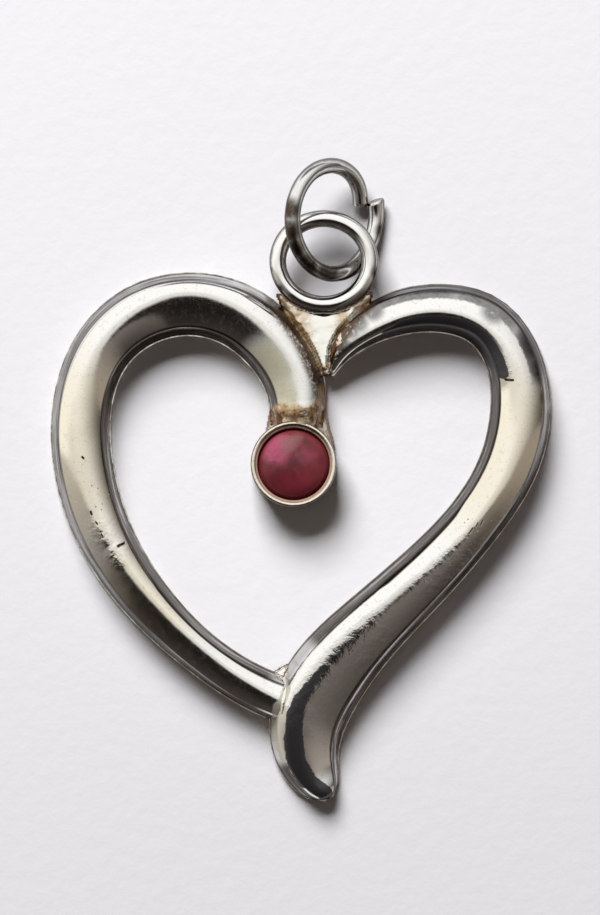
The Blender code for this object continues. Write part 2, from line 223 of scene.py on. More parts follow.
def closedTube(rings, middles):  # vertices and faces, with a fan on a middle point at each end
    count, size = rings.shape[:2]
    faces = tubeFaces(count, size) + fanFaces(0, size, count * size)
    faces += fanFaces((count - 1) * size, size, count * size + 1)
    return np.concatenate([rings.reshape(-1, 3), np.array(middles)]) * mm, faces


def setGrain(piece, grain):  # three numbers a point for the finish, none on the end middles
    grain = grain.reshape(-1, 3)
    grain = np.concatenate([grain, np.zeros((len(piece.data.vertices) - len(grain), 3))])
    piece.data.attributes.new("grain", "FLOAT_VECTOR", "POINT").data.foreach_set("vector", grain.ravel())


def ramp(values, start, over):  # 0 up to the start, then up to 1
    return np.clip((values - start) / over, 0.0, 1.0)


# Small smooth unevenness in mm, so that reflections run as on hand-finished metal
def uneven(points, amount, wave, seed):
    points = np.asarray(points)
    shift = Vector((seed * 7.3, seed * 3.1, seed * 5.7))
    flat = points.reshape(-1, 3)
    values = [noise.noise(Vector(p) / wave + shift) for p in flat]
    return amount * np.array(values).reshape(points.shape[:-1])


arms = {
    "width": 2.45,                  # mm, at share 1
    "height": 2.00,
    "foot": 0.295,                  # where the shells stand on their backs
    "flank": 0.23,                  # plan width of the steep side, as a share of the half width
    "widestFlank": 0.27,
    "rise": 0.44,                   # how far the dome rises over its flanks, as a share of its half width
    "power": 2.15,
    "wall": 0.35,
    "step": 0.11,
    "flankPoints": 9,
    "domePoints": 49,
    "skinPoints": 67,
    "bendPasses": 3,
    "hollowPoints": 14,
    "hollowWidth": (1.2, 0.4),      # mm: solid up to this width, and the width over which the hollow opens
    "hollowEnds": (0.6, 0.8),       # the same along the arm, from its ends
    "hollowBend": 0.6,
    "hollowShare": 0.96,            # the hollow's half width where it is closed
    "mostRise": 0.5,
    "tipRound": 0.22,
    "tipPoints": 7,
    "tipBlunt": 0.985,              # how much of the rounding is kept
    "beside": 0.2,                  # mm past its ends that still count as the arm
    "intoCup": 0.09,
    "leftStart": 0.42,
    "neckDrop": 0.22,               # the left arm dips to the cup
    "neckLength": 0.60,
    "dents": ((0.010, 3.0), (0.004, 0.9)),  # amount and wave length
    "dentsFrom": (0.6, 0.6),
}
# Each row: centre x and y in mm, share of the width, share of the height, lean of the crest
leftStations = (
    (-0.13, 1.95, 0.857, 1.0, 0.2), (-0.2, 3.9, 1.012, 0.98, 0.2), (-1.15, 5.68, 1.094, 1.0, 0.22),
    (-2.9, 6.98, 1.086, 1.0, 0.36), (-4.75, 7.33, 1.061, 1.0, 0.46), (-6.7, 6.85, 1.049, 1.0, 0.3),
    (-8.25, 5.5, 1.0, 1.0, 0.2), (-9.1, 3.4, 0.988, 1.0, 0.06), (-9.1, 0.5, 1.0, 1.0, 0.0),
    (-8.2, -2.4, 0.939, 0.97, -0.12), (-6.3, -5.28, 0.816, 0.92, -0.3), (-3.95, -7.5, 0.714, 0.86, -0.34),
    (-1.6, -8.95, 0.755, 0.82, -0.16), (-0.2, -9.5, 0.776, 0.82, 0.0),
)
rightStations = (
    (1.27, 4.35, 0.09, 0.5, 0.0), (1.62, 5.25, 0.388, 0.72, 0.3), (2.6, 6.25, 0.612, 0.88, 0.44),
    (4.05, 6.93, 0.743, 0.96, 0.28), (6.0, 7.15, 0.816, 1.0, 0.16), (7.8, 6.6, 0.886, 1.0, 0.22),
    (8.95, 5.05, 0.939, 1.0, 0.1), (9.28, 3.0, 1.008, 1.0, 0.0), (8.8, 0.65, 1.0, 1.0, 0.0),
    (7.4, -1.7, 0.951, 1.0, 0.02), (5.42, -3.91, 1.029, 1.0, 0.24), (2.9, -6.34, 1.188, 1.02, 0.42),
    (1.16, -8.34, 1.347, 0.97, 0.47), (0.29, -10.31, 1.286, 0.86, 0.46), (0.37, -11.8, 1.053, 0.7, 0.36),
    (0.8, -12.78, 0.755, 0.58, 0.28), (1.07, -13.22, 0.457, 0.52, 0.14), (1.22, -13.47, 0.147, 0.42, 0.0),
)


# Natural cubic spline through the rows, with the distance between centres as its parameter
def splineThrough(rows):
    rows = np.array(rows, float)
    steps = np.hypot(*np.diff(rows[:, :2], axis=0).T)
    knots = np.concatenate([[0.0], np.cumsum(steps)])
    count = len(rows)
    system, right = np.eye(count), np.zeros_like(rows)
    for i in range(1, count - 1):
        system[i, i - 1:i + 2] = steps[i - 1], 2.0 * (steps[i - 1] + steps[i]), steps[i]
        right[i] = 3.0 * ((rows[i + 1] - rows[i]) / steps[i] - (rows[i] - rows[i - 1]) / steps[i - 1])
    bends = np.linalg.solve(system, right)

    def value(distance):
        distance = np.asarray(distance, float)
        i = np.clip(np.searchsorted(knots, distance) - 1, 0, count - 2)
        h = steps[i][:, None]
        t = (distance - knots[i])[:, None]
        slope = (rows[i + 1] - rows[i]) / h - h * (2.0 * bends[i] + bends[i + 1]) / 3.0
        return rows[i] + slope * t + bends[i] * t * t + (bends[i + 1] - bends[i]) / (3.0 * h) * t ** 3

    return value, knots[-1]


class Arm:  # sections along one arm, all in mm
    def __init__(self, stations, outward, start=0.0, roundStart=False, roundEnd=False):
        self.outward = outward  # the sign of the side that lies outside the heart
        rows = [(x, y, w * arms["width"], h * arms["height"], lean) for x, y, w, h, lean in stations]
        value, length = splineThrough(rows)
        along = np.linspace(start, length, round((length - start) / arms["step"]) + 1)
        over = arms["tipRound"]
        fine = over * (1.0 - np.cos(np.linspace(0.0, math.pi / 2.0, arms["tipPoints"])))
        if roundEnd:
            along = np.concatenate([along[along < length - over], length - fine[::-1]])
        if roundStart:
            along = np.concatenate([start + fine, along[along > start + over]])
        data = value(along)
        nudge = length * 0.0001
        run = value(np.minimum(along + nudge, length)) - value(np.maximum(along - nudge, 0.0))
        run = run[:, :2] / np.linalg.norm(run[:, :2], axis=1)[:, None]
        self.along = along
        self.length = length
        self.centre = data[:, :2]
        self.run = run
        self.side = np.stack([run[:, 1], -run[:, 0]], axis=1)
        self.half = data[:, 2] / 2.0
        dip = np.clip((start + arms["neckLength"] - along) / arms["neckLength"], 0.0, 1.0) if start else 0.0
        self.top = data[:, 3] - arms["neckDrop"] * dip ** 2 * (3.0 - 2.0 * dip)
        self.lean = data[:, 4]
        self.closing = np.ones(len(along))
        if roundEnd:
            self.close((along - (length - over)) / over)
        if roundStart:
            self.close((start + over - along) / over)
        self.offset, self.level = self.skin()

    def close(self, share):  # rounds off a pointed end
        self.closing *= np.sqrt(np.maximum(0.0, 1.0 - np.clip(share, 0.0, arms["tipBlunt"]) ** 2))

    # Steep flanks with a dome between them, the bends where they meet softened
    def skin(self):
        foot = arms["foot"]
        flank = np.minimum(self.half * arms["flank"], arms["widestFlank"])
        domeHalf = self.half - flank
        rise = np.minimum(domeHalf * arms["rise"], (self.top - foot) * arms["mostRise"])
        across = np.linspace(1.0, -1.0, arms["domePoints"])[None, :]
        climb = np.linspace(0.0, 1.0, arms["flankPoints"], endpoint=False)[None, :]
        lean = self.lean[:, None]
        domeOffset = domeHalf[:, None] * (across + lean * (1.0 - across ** 2))
        domeLevel = (self.top - rise)[:, None] + rise[:, None] * (1.0 - np.abs(across) ** arms["power"])
        sideOffset = self.half[:, None] - flank[:, None] * climb
        sideLevel = foot + (self.top - rise - foot)[:, None] * climb
        offset = np.concatenate([sideOffset, domeOffset, -sideOffset[:, ::-1]], axis=1)
        level = np.concatenate([sideLevel, domeLevel, sideLevel[:, ::-1]], axis=1)
        even = []
        for o, z in zip(offset, level):
            girth = np.concatenate([[0.0], np.cumsum(np.hypot(np.diff(o), np.diff(z)))])
            spread = np.linspace(0.0, girth[-1], arms["skinPoints"])
            even.append((np.interp(spread, girth, o), np.interp(spread, girth, z)))
        even = np.array(even)
        for _ in range(arms["bendPasses"]):
            even[:, :, 1:-1] = (even[:, :, :-2] + 2.0 * even[:, :, 1:-1] + even[:, :, 2:]) / 4.0
        closing = self.closing[:, None]
        return even[:, 0] * closing, foot + (even[:, 1] - foot) * closing

    def height(self, places):  # top surface over points of the plan, 0 beside the arm
        gaps = places[:, None, :] - self.centre[None, :, :]
        nearest = np.argmin((gaps ** 2).sum(axis=2), axis=1)
        gap = gaps[np.arange(len(places)), nearest]
        offset = (gap * self.side[nearest]).sum(axis=1)
        beyond = np.abs((gap * self.run[nearest]).sum(axis=1))
        high = np.array([np.interp(o, self.offset[i][::-1], self.level[i][::-1], 0.0, 0.0)
                         for o, i in zip(offset, nearest)])
        return np.where(beyond < arms["beside"], high, 0.0)

    def rings(self, seed):
        outer = self.placed(self.offset, self.level)
        lift = ramp(self.level, *arms["dentsFrom"])
        for amount, wave in arms["dents"]:
            outer[:, :, 2] += uneven(outer, amount, wave, seed) * lift
        return np.concatenate([outer, self.hollow((self.half * self.closing)[:, None])], axis=1)

    # For the finish: mm along the arm, mm round the section from its middle, share of the half width
    def grain(self):
        girth = np.cumsum(np.hypot(np.diff(self.offset, axis=1), np.diff(self.level, axis=1)), axis=1)
        girth = np.concatenate([np.zeros((len(girth), 1)), girth], axis=1)
        girth -= girth[:, -1:] / 2.0
        along = np.broadcast_to(self.along[:, None], girth.shape)
        share = self.outward * self.offset / np.maximum(self.half * self.closing, 1e-6)[:, None]
        skin = np.stack([along, girth, share], axis=2)
        inside = np.repeat(skin[:, :1], arms["hollowPoints"], axis=1)
        return np.concatenate([skin, inside], axis=1)

    # The inside of the shell, which closes to a flat bottom where the arm is narrow and at its ends
    def hollow(self, half):
        ends = np.minimum(self.along - self.along[0], self.length - self.along)
        depth = (ramp(self.half * 2.0, *arms["hollowWidth"]) * ramp(ends, *arms["hollowEnds"]))[:, None]
        across = np.cos(np.linspace(math.pi, 0.0, arms["hollowPoints"]))
        foot = arms["foot"]
        bend = np.sqrt(1.0 - arms["hollowBend"] * across ** 2)
        inner = half * arms["hollowShare"] - (arms["flank"] * half + arms["wall"]) * depth * bend
        roof = self.top[:, None] - arms["wall"] - arms["rise"] * half * across ** 2
        level = foot + (roof - foot) * depth
        level[:, 0] = foot
        level[:, -1] = foot
        return self.placed(inner * across, level)

    def placed(self, offset, level):
        offset, level = np.broadcast_arrays(offset, level)
        flat = self.centre[:, None, :] + self.side[:, None, :] * offset[:, :, None]
        return np.concatenate([flat, level[:, :, None]], axis=2)


def buildArm(name, arm, seed, material, node, meetCup=None):
    rings = arm.rings(seed)
    middles = [rings[0].mean(axis=0), rings[-1].mean(axis=0)]
    for middle, end in zip(middles, (0, -1)):
        middle[:2] = arm.centre[end]
        middle[2] = (arms["foot"] + rings[end][:, 2].max()) / 2.0
    if meetCup is not None:  # the first ring runs back to the cup's wall
        centre, radius = meetCup
        for point in list(rings[0]) + [middles[0]]:
            gap = point[:2] - centre
            ahead = gap @ arm.run[0]
            aside = gap @ arm.side[0]
            point[:2] -= arm.run[0] * (ahead - math.sqrt(max(radius ** 2 - aside ** 2, 0.0)))
    piece = meshObject(name, *closedTube(rings, middles), material, "pendant", "silver", [node])
    piece.data.set_sharp_from_angle(angle=sharpAngle)
    setGrain(piece, arm.grain())


silver = {
    "clean": (0.985, 0.980, 0.960),
    "warm": (0.935, 0.875, 0.750),
    "khaki": (0.60, 0.57, 0.42),
    "bend": (0.055, 0.045, 0.036),  # dirt and painted shade where the dome meets the flank
    "flank": (0.68, 0.66, 0.63),
    "innerFlank": (0.19, 0.17, 0.152),
    "dull": (0.160, 0.155, 0.160),  # unpolished patches
    "murk": (0.075, 0.066, 0.068),
    "brown": (0.18, 0.108, 0.070),
    "cream": (0.66, 0.61, 0.50),
    "black": (0.088, 0.085, 0.089),
    "neck": (0.56, 0.37, 0.19),
    "edgeTint": (0.65, 0.65, 0.65, 1.0),  # how much of its shine dirty silver keeps at a glancing view
    "oxide": (0.035, 0.022, 0.016),
    "roughness": 0.085,
    "ripple": 0.0020,               # mm: unevenness of the polish
    "wornRipple": 0.017,
    "flankEdge": (0.68, 0.74),      # where the steep side begins, as a share of the half width
    "warmSpots": ((-9.1, 1.2, 5.5), (9.2, 0.8, 5.5), (-6.6, -5.0, 3.5)),
    # khaki: warm tarnish with a painted reflection of the lit paper, on the neck's inner side
    "khakiTarnishAndReflectionSpots": ((-0.9, 3.2, 1.6), (-1.35, 4.7, 1.65)),
    "dullSpots": ((5.0, 8.3, 3.0), (3.4, 8.0, 2.0), (8.0, 7.4, 2.6), (10.0, 5.6, 1.9)),
    "dullPatches": (
        (2.05, 6.75, 0.8), (1.65, 6.05, 0.55), (2.9, 7.4, 0.8), (2.4, 6.55, 0.65), (2.1, 6.25, 0.6),
        (1.8, 5.75, 0.45), (3.05, 7.05, 0.65), (8.15, 7.05, 0.8),
    ),
    # painted reflections: dark bands where the lobes and the tail mirror the dark room
    "lobeDarkReflection": ((
        (3.0, 5.6, 0.3), (3.7, 5.95, 0.45), (4.3, 6.22, 0.6), (5.0, 6.36, 0.75), (5.85, 6.42, 0.8),
        (6.7, 6.28, 0.8), (7.35, 5.95, 0.75), (7.9, 5.45, 0.6), (8.28, 4.95, 0.42), (8.5, 4.45, 0.3),
    ),),
    "tailDarkReflection": ((
        (1.0, -7.85, 0.12), (0.7, -8.25, 0.24), (0.36, -8.75, 0.36), (0.02, -9.25, 0.46), (-0.2, -9.85, 0.54),
        (-0.27, -10.86, 0.6), (-0.15, -11.87, 0.6), (0.24, -12.58, 0.48), (1.05, -13.2, 0.3),
    ),),
    # painted reflection: a pale cream strip down the tail's left side
    "tailPaleReflection": ((
        (-0.55, -8.8, 0.25), (-0.85, -9.6, 0.42), (-0.92, -10.3, 0.42), (-0.88, -10.8, 0.3),
        (-0.8, -11.3, 0.22), (-0.68, -11.75, 0.12),
    ),),
    "widePaths": (
        ((3.9, -3.9, 1.2), (4.7, -3.0, 1.5), (5.9, -1.9, 1.0)),
        ((-5.6, -5.2, 1.5), (-4.3, -6.5, 1.5), (-3.0, -7.5, 1.5), (-1.6, -8.3, 1.4)),
    ),
    "murkSpots": ((9.9, 5.7, 1.1), (10.25, 4.6, 0.9), (10.45, 3.4, 0.5)),
    "brightFlanks": (
        (-4.7, 8.5, 1.5), (-3.2, 8.2, 1.3), (-6.2, 8.0, 1.2), (9.05, 7.55, 0.7), (8.5, 7.9, 0.5),
        (10.6, 3.0, 0.4),
    ),
    "cleanSpots": (
        (0.2, -7.4, 0.9), (-0.45, -8.2, 1.0), (-0.95, -9.2, 1.1), (-1.15, -10.3, 1.1), (-1.0, -11.4, 0.9),
    ),
    "neckSpots": ((-0.8, 2.75, 0.6), (-0.15, 2.6, 0.7), (0.5, 2.7, 0.6), (0.9, 3.1, 0.45), (1.0, 3.7, 0.4)),
    "crumb": (0.86, 0.72, 0.50),
    "crumbSpots": ((-0.90, 2.35, 0.65), (0.30, 2.35, 0.55)),  # pale solder on the neck beside the cup
    "wornSpots": (
        (5.6, -3.4, 2.6), (2.2, -6.4, 2.4), (-8.3, -2.2, 0.9), (-7.6, -3.2, 0.7), (8.3, 4.6, 0.8),
        (0.5, -8.2, 1.8), (-0.3, -9.8, 1.2),
    ),
    "pitSpots": ((-8.7, -0.9, 0.9), (7.3, -1.7, 1.0), (6.2, -2.6, 0.8), (-8.3, -2.0, 0.7)),
    "scratches": (
        ((-7.6, -2.83, 0.075), (-7.5, -2.78, 0.065), (-7.36, -2.69, 0.065)),
        ((8.6, 4.13, 0.06), (8.9, 4.11, 0.05)), ((-8.74, -1.4, 0.065), (-8.71, -1.5, 0.04)),
        ((-8.54, -1.82, 0.045), (-8.47, -1.9, 0.04)), ((-8.3, -2.32, 0.04), (-8.24, -2.46, 0.04)),
        ((7.64, -1.74, 0.045), (7.53, -1.96, 0.04)), ((7.43, -1.86, 0.035), (7.36, -2.02, 0.04)),
        ((7.22, -2.08, 0.045), (7.06, -2.3, 0.04)), ((-9.1, 0.9, 0.05), (-9.04, 0.84, 0.05)),
    ),
    # brown stain, and painted shade on the left arm's right side above the neck
    "brownStainAndShadePaths": (
        ((-1.15, 7.5, 0.45), (-0.6, 6.7, 0.5), (-0.05, 5.95, 0.5), (0.3, 5.25, 0.5), (0.6, 4.55, 0.48),
         (0.85, 3.9, 0.45), (0.95, 3.3, 0.35)),
        ((2.95, 7.4, 0.4), (2.3, 6.75, 0.36), (1.75, 5.95, 0.3), (1.45, 5.2, 0.25)),
    ),
}


def silverFinish():
    material, bench = newMaterial("wornSilver", silver)
    ease, cloud = bench.ease, bench.cloud
    place = bench.inMillimetres()
    plan = bench.flat(place)
    grain = bench.add("ShaderNodeAttribute", {"attribute_name": "grain"}, out="Vector")
    outer = bench.parts(grain)[2]
    share = outer.unsigned()
    fine = cloud(place, 9.0, 3.0, 0.6)
    speckle = cloud(place, 5.0, 5.0, 0.75, 0.6)
    ripple = cloud(place, 2.6, 3.0, 0.6)
    polish = cloud(bench.stretched(grain, (0.5, 9.0, 1.0)), 1.6, 3.0, 0.6)
    streak = cloud(bench.stretched(grain, (0.28, 0.8, 15.0)), 1.0, 4.0, 0.65)

    # Marks of use
    worn = bench.spots(plan, "wornSpots")
    pits = ease(bench.cells(place, 3.4), 0.04, 0.11, 1.0, 0.0) * bench.spots(plan, "pitSpots")
    nicks = bench.paths(plan, "scratches") * ease(speckle, 0.30, 0.46, 0.3, 1.0)
    crease = ease(bench.parts(place)[2], 0.30, 0.40, 0.5, 0.0)
    dirt = crease.greater(nicks).greater(pits * 0.85)
    dust = ease(speckle, 0.48, 0.72) * 0.05

    # The steep sides
    wide = bench.paths(plan, "widePaths") * ease(outer, 0.1, -0.1) * 0.07
    clean = bench.spots(plan, "cleanSpots") * 0.8
    flank = ease(share + wide + polish * 0.015, *silver["flankEdge"]) * (1.0 - clean)
    outward = ease(share + polish * 0.12, 0.72, 0.94)
    dull = bench.spots(plan, "dullSpots")
    side = bench.layered(
        "innerFlank", (ease(outer, -0.1, 0.1), "flank"), (dull, "dull"),
        (bench.spots(plan, "brightFlanks"), "clean"),
        (ease(streak, 0.46, 0.56, 0.0, 0.85), "bend"), (ease(streak, 0.45, 0.36, 0.0, 0.6), "clean"),
    )
    # painted shade: the flank is painted dark where it bends over from the dome, lighter toward its foot
    side = bench.mix(outward, "bend", side)

    # The dome and the neck, with painted dark and pale reflections
    # painted reflection: the dark bands on the lobes and the tail, put into the colour
    black = bench.paths(plan, "lobeDarkReflection") * ease(outer + speckle * 0.15, -0.20, -0.32)
    black = black.greater(bench.paths(plan, "tailDarkReflection"))
    black = ease(black + speckle * 0.8 + streak * 0.3, 0.94, 1.12)
    black = black * (1.0 - flank * ease(outer, -0.80, -0.92) * 0.7)
    # painted reflection: the pale strip on the tail, less metallic
    cream = ease(bench.paths(plan, "tailPaleReflection") + speckle * 0.4, 0.40, 0.95) * 0.9
    # brown stain and painted shade along the paths
    brown = bench.paths(plan, "brownStainAndShadePaths") * ease(speckle + fine * 0.3, 0.52, 0.68) * 0.92
    band = dull * ease(outer + speckle * 0.25, 0.46, 0.56)
    band = band.greater(bench.spots(plan, "dullPatches") * ease(speckle, 0.30, 0.50, 0.5, 1.0))
    # painted reflection of the lit paper on warm tarnish
    khaki = bench.spots(plan, "khakiTarnishAndReflectionSpots") * ease(speckle, 0.2, 0.6, 0.7, 1.0) * ease(outer, 0.18, -0.10)
    murk = bench.spots(plan, "murkSpots") * ease(outer + speckle * 0.2, 0.44, 0.58)
    crust = bench.spots(plan, "neckSpots") * ease(ripple, 0.28, 0.45)
    rimGap = bench.gap(plan, (*cup["centre"], 0.0))
    crumbs = bench.spots(plan, "crumbSpots") * ease(rimGap + speckle * 0.8, 2.42, 2.32)
    colour = bench.layered(
        "clean",
        (bench.spots(plan, "warmSpots"), "warm"),
        (band * ease(speckle, 0.25, 0.6, 1.0, 0.8), "dull"),
        (murk * ease(speckle, 0.25, 0.55, 0.6, 1.0), "murk"),
        (khaki, "khaki"),
        (ease(speckle, 0.54, 0.70) * 0.22, "bend"),
        (flank, side),
        (cream, "cream"),
        (black, "black"),
        (brown, "brown"),
        (crust, bench.mix(ease(ripple, 0.40, 0.65), "neck", solder["tan"])),
        (crust * ease(ripple + speckle * 0.5, 0.76, 0.88), "brown"),
        (crumbs * 0.8, "crumb"),
        (dirt, "oxide"),
    )
    relief = ripple * (worn * silver["wornRipple"] + silver["ripple"]) + fine * 0.0006
    relief = relief + polish * flank * 0.003 - pits * 0.03 - nicks * 0.05
    relief = relief + speckle * (brown + crust * 0.2 + band * 0.3) * 0.02 + ripple * crust * 0.07
    rough = ease(fine, 0.3, 0.7, 0.0, 0.05) + silver["roughness"] + (flank + dirt + band + black) * 0.12
    rough = rough + (khaki + crust + cream) * 0.25
    metal = 1.0 - khaki * 0.65 - crust * 0.55 - dust - cream * (1.0 - black) * 0.4 - black * 0.3
    bench.surface(bench.coat(colour, metal, rough, relief, {"Specular Tint": silver["edgeTint"]}))
    return material


back = {
    "shaded": (0.40, 0.375, 0.35),
    "lit": (0.85, 0.83, 0.80),
    "stain": (0.24, 0.175, 0.125),
    "burnt": (0.15, 0.095, 0.060),
    "burntAndShadeSpots": ((1.05, 3.3, 1.1),),  # beside the neck: dark stain and painted shade
    "edge": 0.025,                  # mm: rounding of the sheets' edges
}


# The backs' rims and the cup's floor are duller and darker
def backFinish():
    material, bench = newMaterial("dullSilver", back)
    place = bench.inMillimetres()
    stain = bench.cloud(place, 2.0, 4.0, 0.65)
    x, y, _ = bench.parts(place)
    colour = bench.layered(
        "shaded",
        # painted light toward the upper left, painted shade toward the lower right
        (bench.ease(y - x * 1.4, -5.0, 9.0), "lit"),
        (bench.ease(stain, 0.35, 0.65, 0.0, 0.8), "stain"),
        (bench.spots(bench.flat(place), "burntAndShadeSpots") * 0.85, "burnt"),
    )
    rough = bench.ease(stain, 0.3, 0.7, 0.22, 0.34)
    bench.surface(bench.coat(colour, 1.0, rough, stain * 0.004))
    return material


# The cup: cream gold, with a painted pinkish-brown reflection of the stone in the groove between its rim and
# the stone, and darker round its outer edge
def cupFinish():
    material, bench = newMaterial("cupSilver", cup)
    place = bench.inMillimetres()
    speckle = bench.cloud(place, 4.0, 4.0, 0.7, 0.5)
    gap = bench.gap(bench.flat(place), (*cup["centre"], 0.0)) - cup["radius"]
    paintedGrooveReflection = bench.ease(gap + speckle * 0.06, -0.10, -0.17)
    edge = bench.ease(gap + speckle * 0.03, -0.050, -0.010)
    colour = bench.layered("pale", (bench.ease(speckle, 0.35, 0.65), "cream"), (paintedGrooveReflection * 0.85, "paintedGrooveReflection"),
                           (edge * 0.9, "edge"))
    bench.surface(bench.coat(colour, 1.0, paintedGrooveReflection * 0.15 + cup["roughness"], speckle * 0.008))
    return material


wire = {
    "clean": (0.985, 0.98, 0.965),
    "side": (0.095, 0.082, 0.070),  # painted shade round the sides of the wire, away from its top
    "dark": (0.085, 0.065, 0.050),
    "roughness": 0.11,
    "drawLines": 0.0012,
}


def wireFinish(ring):
    material, bench = newMaterial(ring["metalName"], {**wire, **ring})
    place = bench.inMillimetres()
    plan = bench.flat(place)
    speckle = bench.cloud(place, 3.0, 4.0, 0.7, 0.6)
    grain = bench.add("ShaderNodeAttribute", {"attribute_name": "grain"}, out="Vector")
    upward = bench.parts(grain)[2]
    draws = bench.cloud(bench.stretched(grain, (0.6, 5.0, 0.0)), 3.0, 3.0, 0.6)
    dullTop = ring["dullTop"]
    stain = bench.spots(plan, "darkSpots") * bench.ease(speckle, 0.25, 0.60, 0.8, 1.0)
    # painted shade: darker where the wire turns away from facing up
    side = bench.ease(upward + speckle * 0.2, 0.94, 0.58) * 0.9
    dull = bench.ease(draws, 0.35, 0.65, dullTop * 0.4, dullTop)
    colour = bench.layered("clean", (side.greater(dull), "side"), (stain, "dark"))
    rough = stain * 0.15 + wire["roughness"] + dullTop * 0.12
    relief = draws * wire["drawLines"] * (1.0 + 3.0 * dullTop)
    bench.surface(bench.coat(colour, 1.0, rough, relief))
    return material


solder = {
    "bright": (0.98, 0.97, 0.91),
    "gold": (0.80, 0.64, 0.45),
    "tan": (0.46, 0.29, 0.14),
    "burnt": (0.17, 0.082, 0.042),
    "lumps": 0.012,
    "relief": ((0.030, 0.35), (0.012, 0.15)),  # amount and wave length
    "sink": 0.045,                  # how far its open surface lies under the level
    "spread": (0.30, 0.2),          # it thins out over this much beside its outline, to this share
    "roundOff": (0.32, 0.05),
    "calm": 0.12,                   # the lumps left in a calm spot
    "cover": (0.02, 1.6),           # least cover over what it joins, and how thick its edge is left
    "sheet": (0.02, 0.05),          # its underside lies this much below its foot and its top
    "margin": 0.04,                 # it runs on past its outline
    "intoCup": 0.06,
    "creaseFall": 0.22,
    "creaseWidth": 0.25,
    "roughness": 0.13,
}


# Solder shines where it lies open and is stained brown in the creases beside what it joins
def solderFinish(joint):
    material, bench = newMaterial(joint["metalName"], {**solder, **joint})
    place = bench.inMillimetres()
    lumps = bench.cloud(place, 2.6, 4.0, 0.65, 0.5)
    grain = bench.cloud(place, 6.0, 4.0, 0.7)
    crease = bench.add("ShaderNodeAttribute", {"attribute_name": "crease"}, out="Fac")
    stained = 1.0 - bench.spots(bench.flat(place), "brightSpots")
    less = joint["burntShare"] * 0.5
    burnt = bench.ease(crease + grain * 0.9, 1.22 - less, 1.42 - less)
    burnt = burnt.greater(stained * bench.ease(grain, 0.62, 0.70))
    colour = bench.layered("bright", (stained * bench.ease(lumps, 0.30, 0.60, 0.3, 1.0), joint["tone"]),
                           (burnt, "burnt"))
    rough = stained * 0.16 + burnt * 0.10 + solder["roughness"]
    relief = (lumps * solder["lumps"] + grain * 0.006) * (stained * 0.92 + 0.08)
    bench.surface(bench.coat(colour, joint["metal"], rough, relief))
    return material


stoneLook = {
    "deep": (0.080, 0.009, 0.014),
    "red": (0.165, 0.020, 0.030),
    "cloud": (0.36, 0.065, 0.125),
    "grey": (0.20, 0.085, 0.085),
    "edge": (0.23, 0.045, 0.050),
    "low": (0.34, 0.046, 0.064),    # painted light: its shaded side is painted lighter, to glow as deep as the lit one
    "drift": 1.1,                   # how far the clouds are torn
    # painted reflections: pink and grey blotches at the upper left, and pale painted highlights
    "paintedPinkReflectionSpots": ((-1.05, 1.10, 0.85), (-0.75, 1.45, 0.6)),
    "paintedGreyReflectionSpots": ((-0.42, 1.40, 0.55),),
    "paintedHighlightSpots": ((-0.14, 0.30, 0.22), (0.25, 0.9, 0.5)),
    "deepSpots": ((-0.14, 0.02, 0.25), (-0.8, -0.1, 0.9)),
}


def stoneFinish():
    material, bench = newMaterial("redCabochon", stoneLook)
    ease = bench.ease
    place = bench.inMillimetres()
    x, y, _ = bench.parts(place)
    veil = bench.cloud(place, 0.9, 3.0, 0.55, 0.7)
    silk = bench.cloud(place, 2.6, 4.0, 0.6, 0.6)
    drift = bench.add("ShaderNodeTexNoise", None, {"Vector": place, "Scale": 1.5, "Detail": 3.0}, out="Color")
    plan = bench.vector("ADD", place, bench.scaled(drift, stoneLook["drift"]))
    half = stoneLook["drift"] / 2.0
    plan = bench.flat(bench.vector("SUBTRACT", plan, (half, half, 0.0)))
    rim = 1.0 - bench.near(bench.flat(place), (*cup["centre"], 0.0), 1.10, 1.55)
    # painted light: lighter toward the lower right, the side turned from the lamp
    shaded = ease(y - x * 0.5 + silk * 0.6, 1.25, -0.50)
    colour = bench.layered(
        "deep",
        (ease(veil, 0.36, 0.64), "red"),
        # painted reflections and highlights
        (bench.spots(plan, "paintedPinkReflectionSpots") * ease(silk, 0.3, 0.6, 0.55, 1.0), "cloud"),
        (bench.spots(plan, "paintedGreyReflectionSpots") * 0.75, "grey"),
        (bench.spots(plan, "paintedHighlightSpots") * 0.25, "cloud"),
        (bench.spots(plan, "deepSpots") * 0.6, "deep"),
        # painted light: a lighter ring round the stone's edge, against the shade there
        (rim * ease(silk, 0.3, 0.6, 0.3, 0.8), "edge"),
        (shaded * 0.85, "low"),
    )
    rough = ease(silk, 0.3, 0.7, 0.22, 0.32)
    bench.surface(bench.coat(colour, 0.0, rough, silk * 0.004, {"IOR": 1.5}))
    return material


cup = {
    "centre": (-0.27, 0.61),
    "radius": 1.80,
    "wall": 0.20,
    "top": 1.75,
    "turns": 144,
    "stoneRadius": 1.57,
    "girdle": 1.18,
    "dome": 0.85,
    "base": 0.33,
    # The rim's inner side: mm inward from the wall's outside and down from its top
    "rim": ((0.10, 0.002), (0.14, 0.006), (0.175, 0.022), (0.200, 0.050), (0.225, 0.060), (0.255, 0.052),
            (0.280, 0.066), (0.298, 0.100), (0.300, 0.16), (0.260, 0.24), (0.205, 0.42)),
    "roll": (0.07, 0.12),           # rounding of the rim's outer edge
    "wallSteps": (0.5, 1.0),
    "stoneSteps": (0.75, 0.45),
    "stoneEdge": 0.05,              # taken off round its base
    "rimWobble": 0.012,
    "stoneWobble": 0.010,
    "wobbleWave": 0.9,
    "evenBelow": 0.3,
    "poleLift": 0.0005,
    "roughness": 0.12,
    "pale": (0.96, 0.93, 0.86),
    "cream": (0.90, 0.80, 0.66),
    "paintedGrooveReflection": (0.45, 0.27, 0.20),
    "edge": (0.10, 0.075, 0.055),
}


